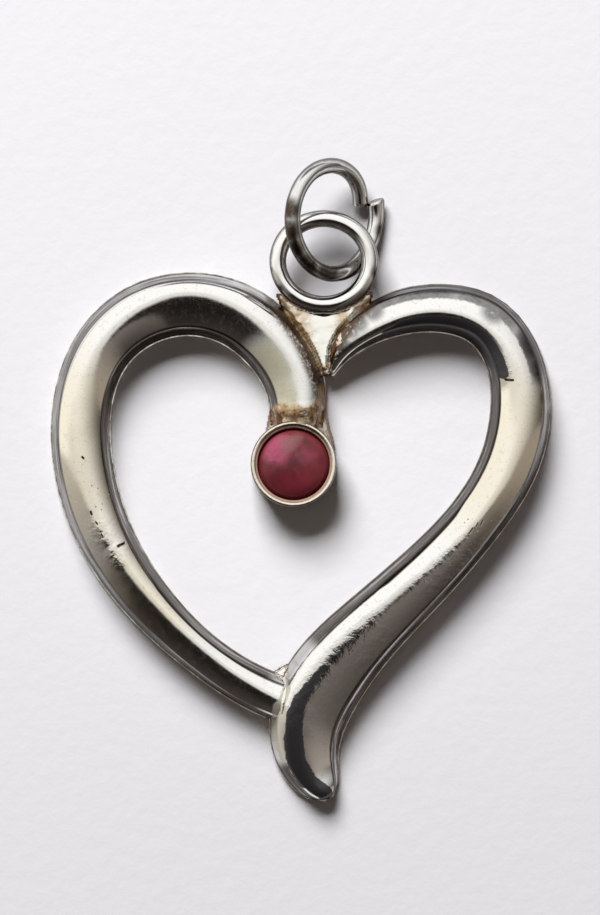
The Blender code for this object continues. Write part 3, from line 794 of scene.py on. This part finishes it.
def turned(name, profile, seed, wobble, material, slotName, node, closed):
    turns = cup["turns"]
    angles = np.arange(turns) / turns * math.tau
    radius = np.array([p[0] for p in profile])[None, :]
    level = np.array([p[1] for p in profile])[None, :] + np.zeros((turns, 1))
    x = cup["centre"][0] + np.cos(angles)[:, None] * radius
    y = cup["centre"][1] + np.sin(angles)[:, None] * radius
    points = np.stack([x, y, level], axis=2)
    fall = np.clip(points[:, :, 2:3] - cup["evenBelow"], 0.0, 1.0)
    points[:, :, 2:3] += uneven(points, wobble, cup["wobbleWave"], seed)[:, :, None] * fall
    count, size = points.shape[:2]
    faces = tubeFaces(count, size, True)
    verts = list(points.reshape(-1, 3) * mm)
    if not closed:  # a solid with its two poles on the axis
        faces = [f for f in faces if not (f[0] % size == size - 1)]
        for j, level in ((0, profile[0][1]), (size - 1, profile[-1][1])):
            pole = len(verts)
            verts.append(np.array([*cup["centre"], level + (0.0 if j else cup["poleLift"])]) * mm)
            for i in range(count):
                faces.append((i * size + j, (i + 1) % count * size + j, pole))
    meshObject(name, verts, faces, material, "pendant", slotName, [node])


def buildCup(material):
    outer, top, wall = cup["radius"], cup["top"], cup["wall"]
    wide, high = cup["roll"]
    profile = [(outer - wall, 0.0), (outer, 0.0), *((outer, level) for level in cup["wallSteps"])]
    profile.append((outer, top - high))
    for i in range(1, 6):
        angle = math.pi / 2.0 * i / 6.0
        profile.append((outer - wide + wide * math.cos(angle), top - high + high * math.sin(angle)))
    profile += [(outer - inward, top - down) for inward, down in cup["rim"]]
    profile += [(outer - wall, level) for level in cup["wallSteps"][::-1]]
    turned("cupWall", profile, 3, cup["rimWobble"], material, "silver", "bezel_wall", True)


def buildStone(material):
    radius, girdle, dome = cup["stoneRadius"], cup["girdle"], cup["dome"]
    profile = []
    for i in range(1, 29):
        angle = math.pi / 2.0 * i / 28
        profile.append((radius * math.sin(angle), girdle + dome * math.cos(angle)))
    profile += [(radius, level) for level in cup["stoneSteps"]]
    profile += [(radius - cup["stoneEdge"], cup["base"]), (radius * 0.5, cup["base"])]
    turned("redStone", profile, 8, cup["stoneWobble"], material, "red_stone", "stone", False)


# For the finish: mm along the wire, mm round it and how far each point faces up
def wireGrain(piece, along, around, upward):
    along, around = np.meshgrid(along, around, indexing="ij")
    setGrain(piece, np.stack([along, around, upward], axis=2))


eye = {
    "centre": (1.00, 9.09, 1.50),
    "radius": 1.93,
    "wire": 0.36,
    "turns": 160,
    "sides": 32,
    "squash": 0.93,                 # the eye is slightly oval
    "wobble": (0.012, 0.8),         # amount and wave length
    "metalName": "eyeWire",
    "darkSpots": ((-0.9, 7.9, 0.3), (3.3, 8.6, 0.45)),
    "dullTop": 0.0,
}


def buildEye(material):
    angles = np.arange(eye["turns"]) / eye["turns"] * math.tau
    around = np.arange(eye["sides"]) / eye["sides"] * math.tau
    out = np.stack([np.cos(angles), np.sin(angles), np.zeros_like(angles)], axis=1)
    spoke = eye["radius"] * out * np.array([1.0, eye["squash"], 1.0]) + np.array(eye["centre"])
    ring = eye["wire"] * (np.cos(around)[None, :, None] * out[:, None, :]
                          + np.sin(around)[None, :, None] * np.array([0.0, 0.0, 1.0]))
    points = spoke[:, None, :] + ring
    points -= ring / eye["wire"] * np.abs(uneven(points, *eye["wobble"], 5))[:, :, None]
    faces = tubeFaces(eye["turns"], eye["sides"], True)
    verts = points.reshape(-1, 3) * mm
    piece = meshObject("eyeRing", verts, faces, material, "pendant", "wire", ["eye_ring"])
    wireGrain(piece, angles * eye["radius"], around * eye["wire"], ring[:, :, 2] / eye["wire"])


jump = {
    "centre": (1.37, 10.82, 0.34 + 0.02 + 2.27 * math.sin(math.radians(42.0))),
    "radius": 2.265,
    "wire": 0.337,
    "lean": math.radians(42.0),
    "gapAngle": math.radians(17.0),
    "opening": math.radians(-5.0),  # the ends pass each other a little
    "firstEnd": -0.45,
    "secondEnd": 0.25,
    "sprung": 0.22,
    "steps": 200,
    "sides": 28,
    "flare": 0.08,                  # the cutters spread the second end and leave it slanted
    "flareFrom": (0.93, 0.06),
    "slant": 0.07,
    "cutEdge": 0.90,                # the cut edges are slightly rounded
    "cutBulge": 0.02,
    "sharpAngle": math.radians(40.0),
    "wobble": (0.014, 0.7),
    "metalName": "jumpWire",
    "darkSpots": ((-0.45, 11.2, 0.7), (-0.5, 10.3, 0.8), (-0.3, 9.5, 0.7), (0.3, 8.9, 0.7), (1.2, 8.7, 0.7),
                  (3.5, 10.4, 0.5)),
    "dullTop": 0.16,
}


def jumpPath(t):
    angle = jump["gapAngle"] + (math.tau - jump["opening"]) * t
    nearFirst = np.maximum(0.0, 1.0 - t / jump["sprung"]) ** 2
    nearSecond = np.maximum(0.0, 1.0 - (1.0 - t) / jump["sprung"]) ** 2
    apart = jump["firstEnd"] * nearFirst + jump["secondEnd"] * nearSecond
    lean = jump["lean"]
    u = jump["radius"] * np.cos(angle) + apart * math.cos(lean)
    v = jump["radius"] * np.sin(angle)
    a = apart * math.sin(lean)
    x = u * math.cos(lean) + a * math.sin(lean)
    z = -u * math.sin(lean) + a * math.cos(lean)
    return np.stack([x, v, z], axis=1) + np.array(jump["centre"])


def buildJumpRing(material):
    t = np.linspace(0.0, 1.0, jump["steps"])
    path = jumpPath(t)
    ahead = np.gradient(path, axis=0)
    ahead /= np.linalg.norm(ahead, axis=1)[:, None]
    flat = np.array([math.sin(jump["lean"]), 0.0, math.cos(jump["lean"])])  # square to the ring's plane
    first = np.cross(ahead, flat)
    first /= np.linalg.norm(first, axis=1)[:, None]
    second = np.cross(ahead, first)
    around = np.arange(jump["sides"]) / jump["sides"] * math.tau
    size = np.ones(jump["steps"])
    size[0] = size[-1] = jump["cutEdge"]
    ring = np.cos(around)[None, :, None] * first[:, None, :]
    ring = ring + np.sin(around)[None, :, None] * second[:, None, :]
    flared = ramp(t, *jump["flareFrom"]) ** 2
    size *= 1.0 + jump["flare"] * flared
    points = path[:, None, :] + ring * (jump["wire"] * size)[:, None, None]
    points -= ring * np.abs(uneven(points, *jump["wobble"], 11))[:, :, None]
    points += ahead[:, None, :] * (jump["slant"] * flared[:, None] * ring[:, :, 0])[:, :, None]
    middles = [path[0] + ahead[0] * jump["cutBulge"], path[-1] - ahead[-1] * jump["cutBulge"]]
    piece = meshObject("jumpRing", *closedTube(points, middles), material, "jump_ring", "wire", ["jump_ring"])
    piece.data.set_sharp_from_angle(angle=jump["sharpAngle"])
    wireGrain(piece, t * jump["radius"] * math.tau, around * jump["wire"], ring[:, :, 2])


def softMax(first, second, reach):
    blend = np.clip(reach - np.abs(first - second), 0.0, None) / reach
    return np.maximum(first, second) + blend ** 2 * reach / 4.0


def eyeSurface(places):
    aside = places[:, 0] - eye["centre"][0]
    gap = np.hypot(aside, (places[:, 1] - eye["centre"][1]) / eye["squash"]) - eye["radius"]
    rise = np.sqrt(np.clip(eye["wire"] ** 2 - gap ** 2, 0.0, None))
    return np.where(rise > 0.0, eye["centre"][2] + rise, 0.0)


def cupGap(places):  # mm outside the cup's wall
    return np.hypot(places[:, 0] - cup["centre"][0], places[:, 1] - cup["centre"][1]) - cup["radius"]


# How far inside a closed outline each point is, in mm, below 0 outside it
def insideOutline(places, outline):
    outline = np.array(outline, float)
    ends = np.roll(outline, -1, axis=0)
    inside = np.zeros(len(places), bool)
    nearest = np.full(len(places), 1e9)
    for (ax, ay), (bx, by) in zip(outline, ends):
        px, py = places[:, 0], places[:, 1]
        crosses = ((ay > py) != (by > py)) & (px < (bx - ax) * (py - ay) / (by - ay + 1e-12) + ax)
        inside ^= crosses
        share = ((px - ax) * (bx - ax) + (py - ay) * (by - ay)) / ((bx - ax) ** 2 + (by - ay) ** 2)
        share = np.clip(share, 0.0, 1.0)
        nearest = np.minimum(nearest, np.hypot(px - ax - share * (bx - ax), py - ay - share * (by - ay)))
    return np.where(inside, nearest, -nearest)


# Solder as a closed sheet over a grid of the plan: its top runs in fillets up what it joins, and sinks just
# below their surfaces at its edge
def buildSolder(name, joint, neighbours, level, foot, node):
    x0, y0, x1, y1 = joint["box"]
    pitch = joint["pitch"]
    columns, rows = round((x1 - x0) / pitch) + 1, round((y1 - y0) / pitch) + 1
    x, y = np.meshgrid(np.linspace(x0, x1, columns), np.linspace(y0, y1, rows))
    places = np.stack([x.ravel(), y.ravel()], axis=1)
    inside = insideOutline(places, joint["outline"])
    base = level(places)
    top = base.copy()
    for surface in neighbours:
        top = softMax(top, surface(places), joint["reach"])
    spread, roundOff = (np.clip(inside / width + least, 0.0, 1.0)
                        for width, least in (solder["spread"], solder["roundOff"]))
    roundOff = np.sqrt(1.0 - (1.0 - roundOff) ** 2)
    rough = sum(uneven(np.column_stack([places, base]), *relief, joint["seed"] + i)
                for i, relief in enumerate(solder["relief"]))
    for x, y, radius in joint["calmSpots"]:
        rough *= np.clip(np.hypot(places[:, 0] - x, places[:, 1] - y) / radius, solder["calm"], 1.0)
    bare = np.max([surface(places) for surface in neighbours], axis=0)
    covered = top - np.maximum(bare, base)
    top = top + rough - solder["sink"]
    top = foot(places) + (top - foot(places)) * roundOff
    least, thick = solder["cover"]
    top = np.where(bare > 0.0, np.minimum(top, bare + np.maximum(covered, least) * spread * thick), top)
    belowFoot, belowTop = solder["sheet"]
    bottom = np.minimum(foot(places) - belowFoot, top - belowTop)
    keep = (inside > -solder["margin"]) & (cupGap(places) > -solder["intoCup"])
    crease = np.where(bare > 0.0, np.exp(-((bare - base) / solder["creaseFall"]) ** 2), 0.0)
    crease = np.maximum(crease, np.clip(1.0 - inside / solder["creaseWidth"], 0.0, 1.0))
    index = -np.ones((2, rows * columns), int)
    used, creases, faces = [], [], []
    grid = np.arange(rows * columns).reshape(rows, columns)
    cells = [(grid[i, j], grid[i, j + 1], grid[i + 1, j + 1], grid[i + 1, j])
             for i in range(rows - 1) for j in range(columns - 1)]
    cells = [cell for cell in cells if all(keep[corner] for corner in cell)]
    for layer, heights in enumerate((top, bottom)):
        for cell in cells:
            for corner in cell:
                if index[layer, corner] < 0:
                    index[layer, corner] = len(used)
                    used.append((*places[corner], heights[corner]))
                    creases.append(crease[corner])
            order = cell if layer == 0 else cell[::-1]
            faces.append(tuple(index[layer, corner] for corner in order))
    edges = {(a, b): True for cell in cells for a, b in zip(cell, cell[1:] + cell[:1])}
    for a, b in edges:
        if (b, a) not in edges:
            faces.append((index[0, b], index[0, a], index[1, a], index[1, b]))
    piece = meshObject(name, np.array(used) * mm, faces, solderFinish(joint), "pendant", "solder", [node])
    piece.data.attributes.new("crease", "FLOAT", "POINT").data.foreach_set("value", creases)


armSilver = silverFinish()
leftArm = Arm(leftStations, 1.0, start=arms["leftStart"])
rightArm = Arm(rightStations, -1.0, roundStart=True, roundEnd=True)
cupSide = (np.array(cup["centre"]), cup["radius"] - arms["intoCup"])
buildArm("leftArm", leftArm, 1, armSilver, "left_arm_shell", cupSide)
buildArm("rightArm", rightArm, 2, armSilver, "right_arm_shell")
print("arms made")

buildCup(cupFinish())
buildStone(stoneFinish())
print("cup and stone made")

buildEye(wireFinish(eye))
buildJumpRing(wireFinish(jump))
print("rings made")

openWeb = ((0.95, 6.6, 0.9), (1.0, 5.9, 0.8), (1.12, 5.2, 0.6), (2.3, 6.9, 0.5))
web = {
    "box": (-1.6, 4.1, 3.6, 8.2),
    "pitch": 0.055,
    "outline": (
        (-1.03, 7.76), (-0.60, 7.72), (-0.40, 7.60), (0.1, 7.3), (1.0, 7.05), (1.9, 7.3), (2.42, 7.62),
        (2.62, 7.74), (3.06, 7.81), (2.98, 7.44), (3.20, 6.9), (2.5, 6.0), (1.75, 5.3), (1.35, 4.35),
        (0.85, 4.25), (0.45, 5.15), (-0.55, 6.45), (-0.86, 7.36),
    ),
    "reach": 0.5,                   # size of the fillets
    "calmSpots": openWeb,
    "seed": 21,
    "metalName": "eyeSolder",
    "brightSpots": openWeb,
    "burntShare": 0.35,
    "tone": "gold",
    "metal": 1.0,
    "level": 1.30,
    "slope": 0.04,
    "slopeFrom": 5.3,
    "notch": (4.70, 0.5),           # y where it begins, and how far it falls in
    "notchDrop": 0.30,
    "middle": 1.0,
    "flatHalf": 1.20,
    "earDrop": 0.55,
    "foot": 0.08,
    "footRise": 0.60,
    "footEnds": (4.25, 7.1),
}
neck = {
    "box": (-1.9, 1.1, 1.6, 4.4),
    "pitch": 0.05,
    "outline": (
        (-1.14, 3.30), (-1.27, 2.85), (-1.38, 2.33), (-1.46, 1.90), (-1.2, 1.5), (0.7, 1.5), (1.46, 1.30),
        (1.36, 1.75), (1.19, 2.33), (1.10, 2.90), (1.00, 3.35), (0.80, 3.40), (0.55, 3.0), (-0.7, 3.0),
    ),
    "reach": 0.4,
    "calmSpots": (),
    "seed": 31,
    "metalName": "neckSolder",
    "brightSpots": ((-1.5, 2.0, 0.3),),
    "burntShare": 0.65,
    "tone": "tan",
    "metal": 0.45,
    "level": 1.42,
    "slope": 0.15,
    "slopeEnds": (2.6, 1.5),
    "middle": -0.10,
    "flatHalf": 0.85,
    "sideDrop": 0.9,
    "foot": 0.10,
}
tip = {
    "box": (-1.9, -10.4, -0.2, -7.4),
    "pitch": 0.05,
    "outline": (
        (-1.20, -8.20), (-0.90, -7.98), (-0.52, -7.78), (-0.30, -8.00), (-0.38, -9.30), (-0.50, -10.15),
        (-0.85, -10.20), (-1.05, -9.90), (-1.05, -9.20), (-1.00, -8.60),
    ),
    "reach": 0.5,
    "calmSpots": (),
    "seed": 41,
    "metalName": "tipSolder",
    "brightSpots": ((-0.85, -8.2, 0.6), (-0.6, -9.2, 0.9)),
    "burntShare": 0.25,
    "tone": "tan",
    "metal": 1.0,
    "level": 0.50,
    "foot": 0.10,
}


def webLevel(places):  # flat under the eye, then it drops into the notch
    start, over = web["notch"]
    fall = np.clip((start - places[:, 1]) / over, 0.0, 1.0)
    ears = np.clip(np.abs(places[:, 0] - web["middle"]) - web["flatHalf"], 0.0, 1.0)
    high = web["level"] - web["slope"] * (places[:, 1] - web["slopeFrom"])
    return high - web["notchDrop"] * fall ** 2 - web["earDrop"] * ears


def webFoot(places):
    low, high = web["footEnds"]
    return web["foot"] + web["footRise"] * ramp(places[:, 1], low, high - low)


def neckLevel(places):  # highest on the arm, lower against the cup and down both sides
    start, over = neck["slopeEnds"]
    aside = np.clip(np.abs(places[:, 0] - neck["middle"]) - neck["flatHalf"], 0.0, None)
    high = neck["level"] - neck["slope"] * np.clip(places[:, 1] - start, 0.0, over)
    return high - neck["sideDrop"] * aside


def evenly(level):
    return lambda places: np.full(len(places), level)


both = (leftArm.height, rightArm.height)
buildSolder("eyeWeb", web, (*both, eyeSurface), webLevel, webFoot, "eye_solder_web")
buildSolder("cupSolder", neck, both[:1], neckLevel, evenly(neck["foot"]), "bezel_solder")
buildSolder("tipSolder", tip, both, evenly(tip["level"]), evenly(tip["foot"]), "tip_solder")
print("solder made")


# The flat backs and the cup's floor keep their solids, with rounded edges
def dressNode(name, material, width):
    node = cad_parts[name]
    node.data.materials.clear()
    node.data.materials.append(material)
    edge = node.modifiers.new("edge", "BEVEL")
    edge.width = width * mm
    edge.segments = 2
    edge.limit_method = "ANGLE"
    edge.angle_limit = sharpAngle


backSilver = backFinish()
for nodeName in ("left_arm_back", "right_arm_back", "bezel_seat"):
    dressNode(nodeName, backSilver, back["edge"])


paper = {
    "upper": (0.905, 0.900, 0.935),
    "paintedShadeLower": (0.860, 0.855, 0.888),
    # painted light: the paper is brighter round the middle
    "middle": (0.960, 0.955, 0.985),
    "size": 3.0,                    # metres to each side
    "drop": 0.00001,                # just under the pendant
}


def paperFinish():
    material, bench = newMaterial("paper", paper)
    place = bench.inMillimetres()
    down = bench.parts(place)[1]
    mottle = bench.cloud(place, 0.12, 4.0, 0.6)
    # painted shade toward the bottom, and a painted pool of light round the middle
    colour = bench.layered("upper", (bench.ease(down + mottle * 6.0, 3.0, -16.0), "paintedShadeLower"),
                           (bench.near(place, (0.0, 0.0, 0.0), 3.0, 13.0), "middle"))
    fibres = bench.cloud(place, 1.5, 4.0, 0.6)
    sheet = bench.coat(colour, 0.0, 0.9, fibres * 0.02, {"Specular IOR Level": 0.1})
    under = bench.add("ShaderNodeNewGeometry", out="Backfacing")  # open when seen from below
    clear = bench.add("ShaderNodeBsdfTransparent")
    bench.surface(bench.add("ShaderNodeMixShader", None, {0: under, 1: sheet, 2: clear}))
    return material


def stagePlane(name, corners, material):
    mesh = bpy.data.meshes.new(name)
    mesh.from_pydata(corners, [], [tuple(range(len(corners)))])
    mesh.materials.append(material)
    plane = bpy.data.objects.new(name, mesh)
    bpy.context.scene.collection.objects.link(plane)


paperCorners = [(x * paper["size"], y * paper["size"], -paper["drop"])
                for x, y in ((-1, -1), (1, -1), (1, 1), (-1, 1))]
stagePlane("paperSheet", paperCorners, paperFinish())

# The room as the metal sees it, laid out by the slope of the surface that shows it (x to the right, y up):
# a pale band overhead, its left side bright, its right side dim, black toward the viewer and grey behind
room = {
    "cream": (0.77, 0.75, 0.705),
    "white": (1.00, 0.995, 0.975),
    "left": (1.00, 0.985, 0.93),
    "right": (0.100, 0.088, 0.076),
    "near": (0.011, 0.009, 0.008),
    "nearSteep": (0.046, 0.037, 0.033),
    "leftFront": (0.50, 0.475, 0.44),
    "rightFront": (0.32, 0.280, 0.245),
    "rightNear": (0.150, 0.130, 0.115),
    "rightSteep": (0.048, 0.040, 0.035),
    "far": (0.165, 0.160, 0.172),
    "horizon": (0.045, 0.036, 0.030),
}
light = {
    "sky": (0.93, 0.92, 0.93),      # what the camera sees past the paper
    "fill": (0.073, 0.061, 0.054),  # soft light from all round
    "keySide": -18.0,               # degrees from the top of the picture, to the right
    "keyTilt": 50.0,                # degrees from straight above
    "keyDistance": 0.5,
    "keySize": 0.235,
    "keyPower": 3.57,
}


def paintRoom(bench):
    x, y, z = bench.parts(bench.add("ShaderNodeTexCoord", out="Generated"))
    up = z.unsigned() + 1.0
    x, y = x / up, y / up
    slope = bench.add("ShaderNodeCombineXYZ", None, {0: x, 1: y})
    steep = bench.vector("LENGTH", slope, out="Value")
    ratio = (y / x).unsigned()
    overhead = bench.layered(
        "cream",
        (bench.ease(y, -0.03, 0.07), "white"),
        (bench.ease(x, -0.28, -0.60), "left"),
        (bench.ease(x - y * 0.6, -0.12, 0.85), "right"),
    )
    dark = bench.mix(bench.ease(steep, 0.25, 0.70), "near", "nearSteep")
    frontLeft = bench.mix(bench.ease(ratio, 0.12, 1.06), "leftFront", dark)
    brown = bench.mix(bench.ease(steep, 0.18, 0.62), "rightNear", "rightSteep")
    frontRight = bench.mix(bench.ease(ratio, 0.25, 1.00), "rightFront", brown)
    frontRight = bench.mix(bench.ease(x, 0.10, 0.15), dark, frontRight)
    front = bench.mix(bench.ease(x, -0.03, 0.01), frontLeft, frontRight)
    return bench.layered(
        front,
        (bench.ease(y, -0.11, -0.05), overhead),
        (bench.ease(y, 0.62, 0.72) * bench.ease(x, -0.30, -0.12), "far"),
        (bench.ease(steep, 0.93, 1.00), "horizon"),
    )


def buildLight():
    world = bpy.data.worlds.new("studio")
    bpy.context.scene.world = world
    bench = Bench(world, room)
    path = bench.add("ShaderNodeLightPath")
    rays = path.socket.node.outputs
    seen = Signal(bench, rays["Is Camera Ray"]).greater(Signal(bench, rays["Is Transmission Ray"]))
    colour = bench.layered(light["fill"], (seen, light["sky"]),
                           (Signal(bench, rays["Is Glossy Ray"]), paintRoom(bench)))
    sky = bench.add("ShaderNodeBackground", None, {"Color": colour, "Strength": 1.0})
    bench.add("ShaderNodeOutputWorld", None, {"Surface": sky})
    key = bpy.data.lights.new("northWindow", "AREA")
    key.shape = "SQUARE"
    key.size = light["keySize"]
    key.energy = light["keyPower"]
    lamp = bpy.data.objects.new("northWindow", key)
    bpy.context.scene.collection.objects.link(lamp)
    tilt, side = math.radians(light["keyTilt"]), math.radians(light["keySide"])
    away = Vector((math.sin(tilt) * math.sin(side), math.sin(tilt) * math.cos(side), math.cos(tilt)))
    lamp.location = away * light["keyDistance"]
    lamp.rotation_mode = "QUATERNION"
    lamp.rotation_quaternion = away.to_track_quat("Z", "Y")
    lamp.visible_glossy = False


buildLight()

camera = {
    "height": 0.30,
    "frameHeight": 915 * 0.042 * mm,  # the picture's height at 0.042 mm a pixel
    "focus": 0.6 * mm,              # height where that scale holds
    "centreY": 0.882 * mm,
}


def buildCamera():
    data = bpy.data.cameras.new("overhead")
    data.sensor_width = 36.0
    data.lens = 36.0 * (camera["height"] - camera["focus"]) / camera["frameHeight"]
    data.clip_start = 0.01
    data.clip_end = 10.0
    seat = bpy.data.objects.new("overhead", data)
    bpy.context.scene.collection.objects.link(seat)
    seat.location = (0.0, camera["centreY"], camera["height"])
    bpy.context.scene.camera = seat


buildCamera()
view = bpy.context.scene.view_settings
view.view_transform = "Standard"
print("stage, light and camera made")
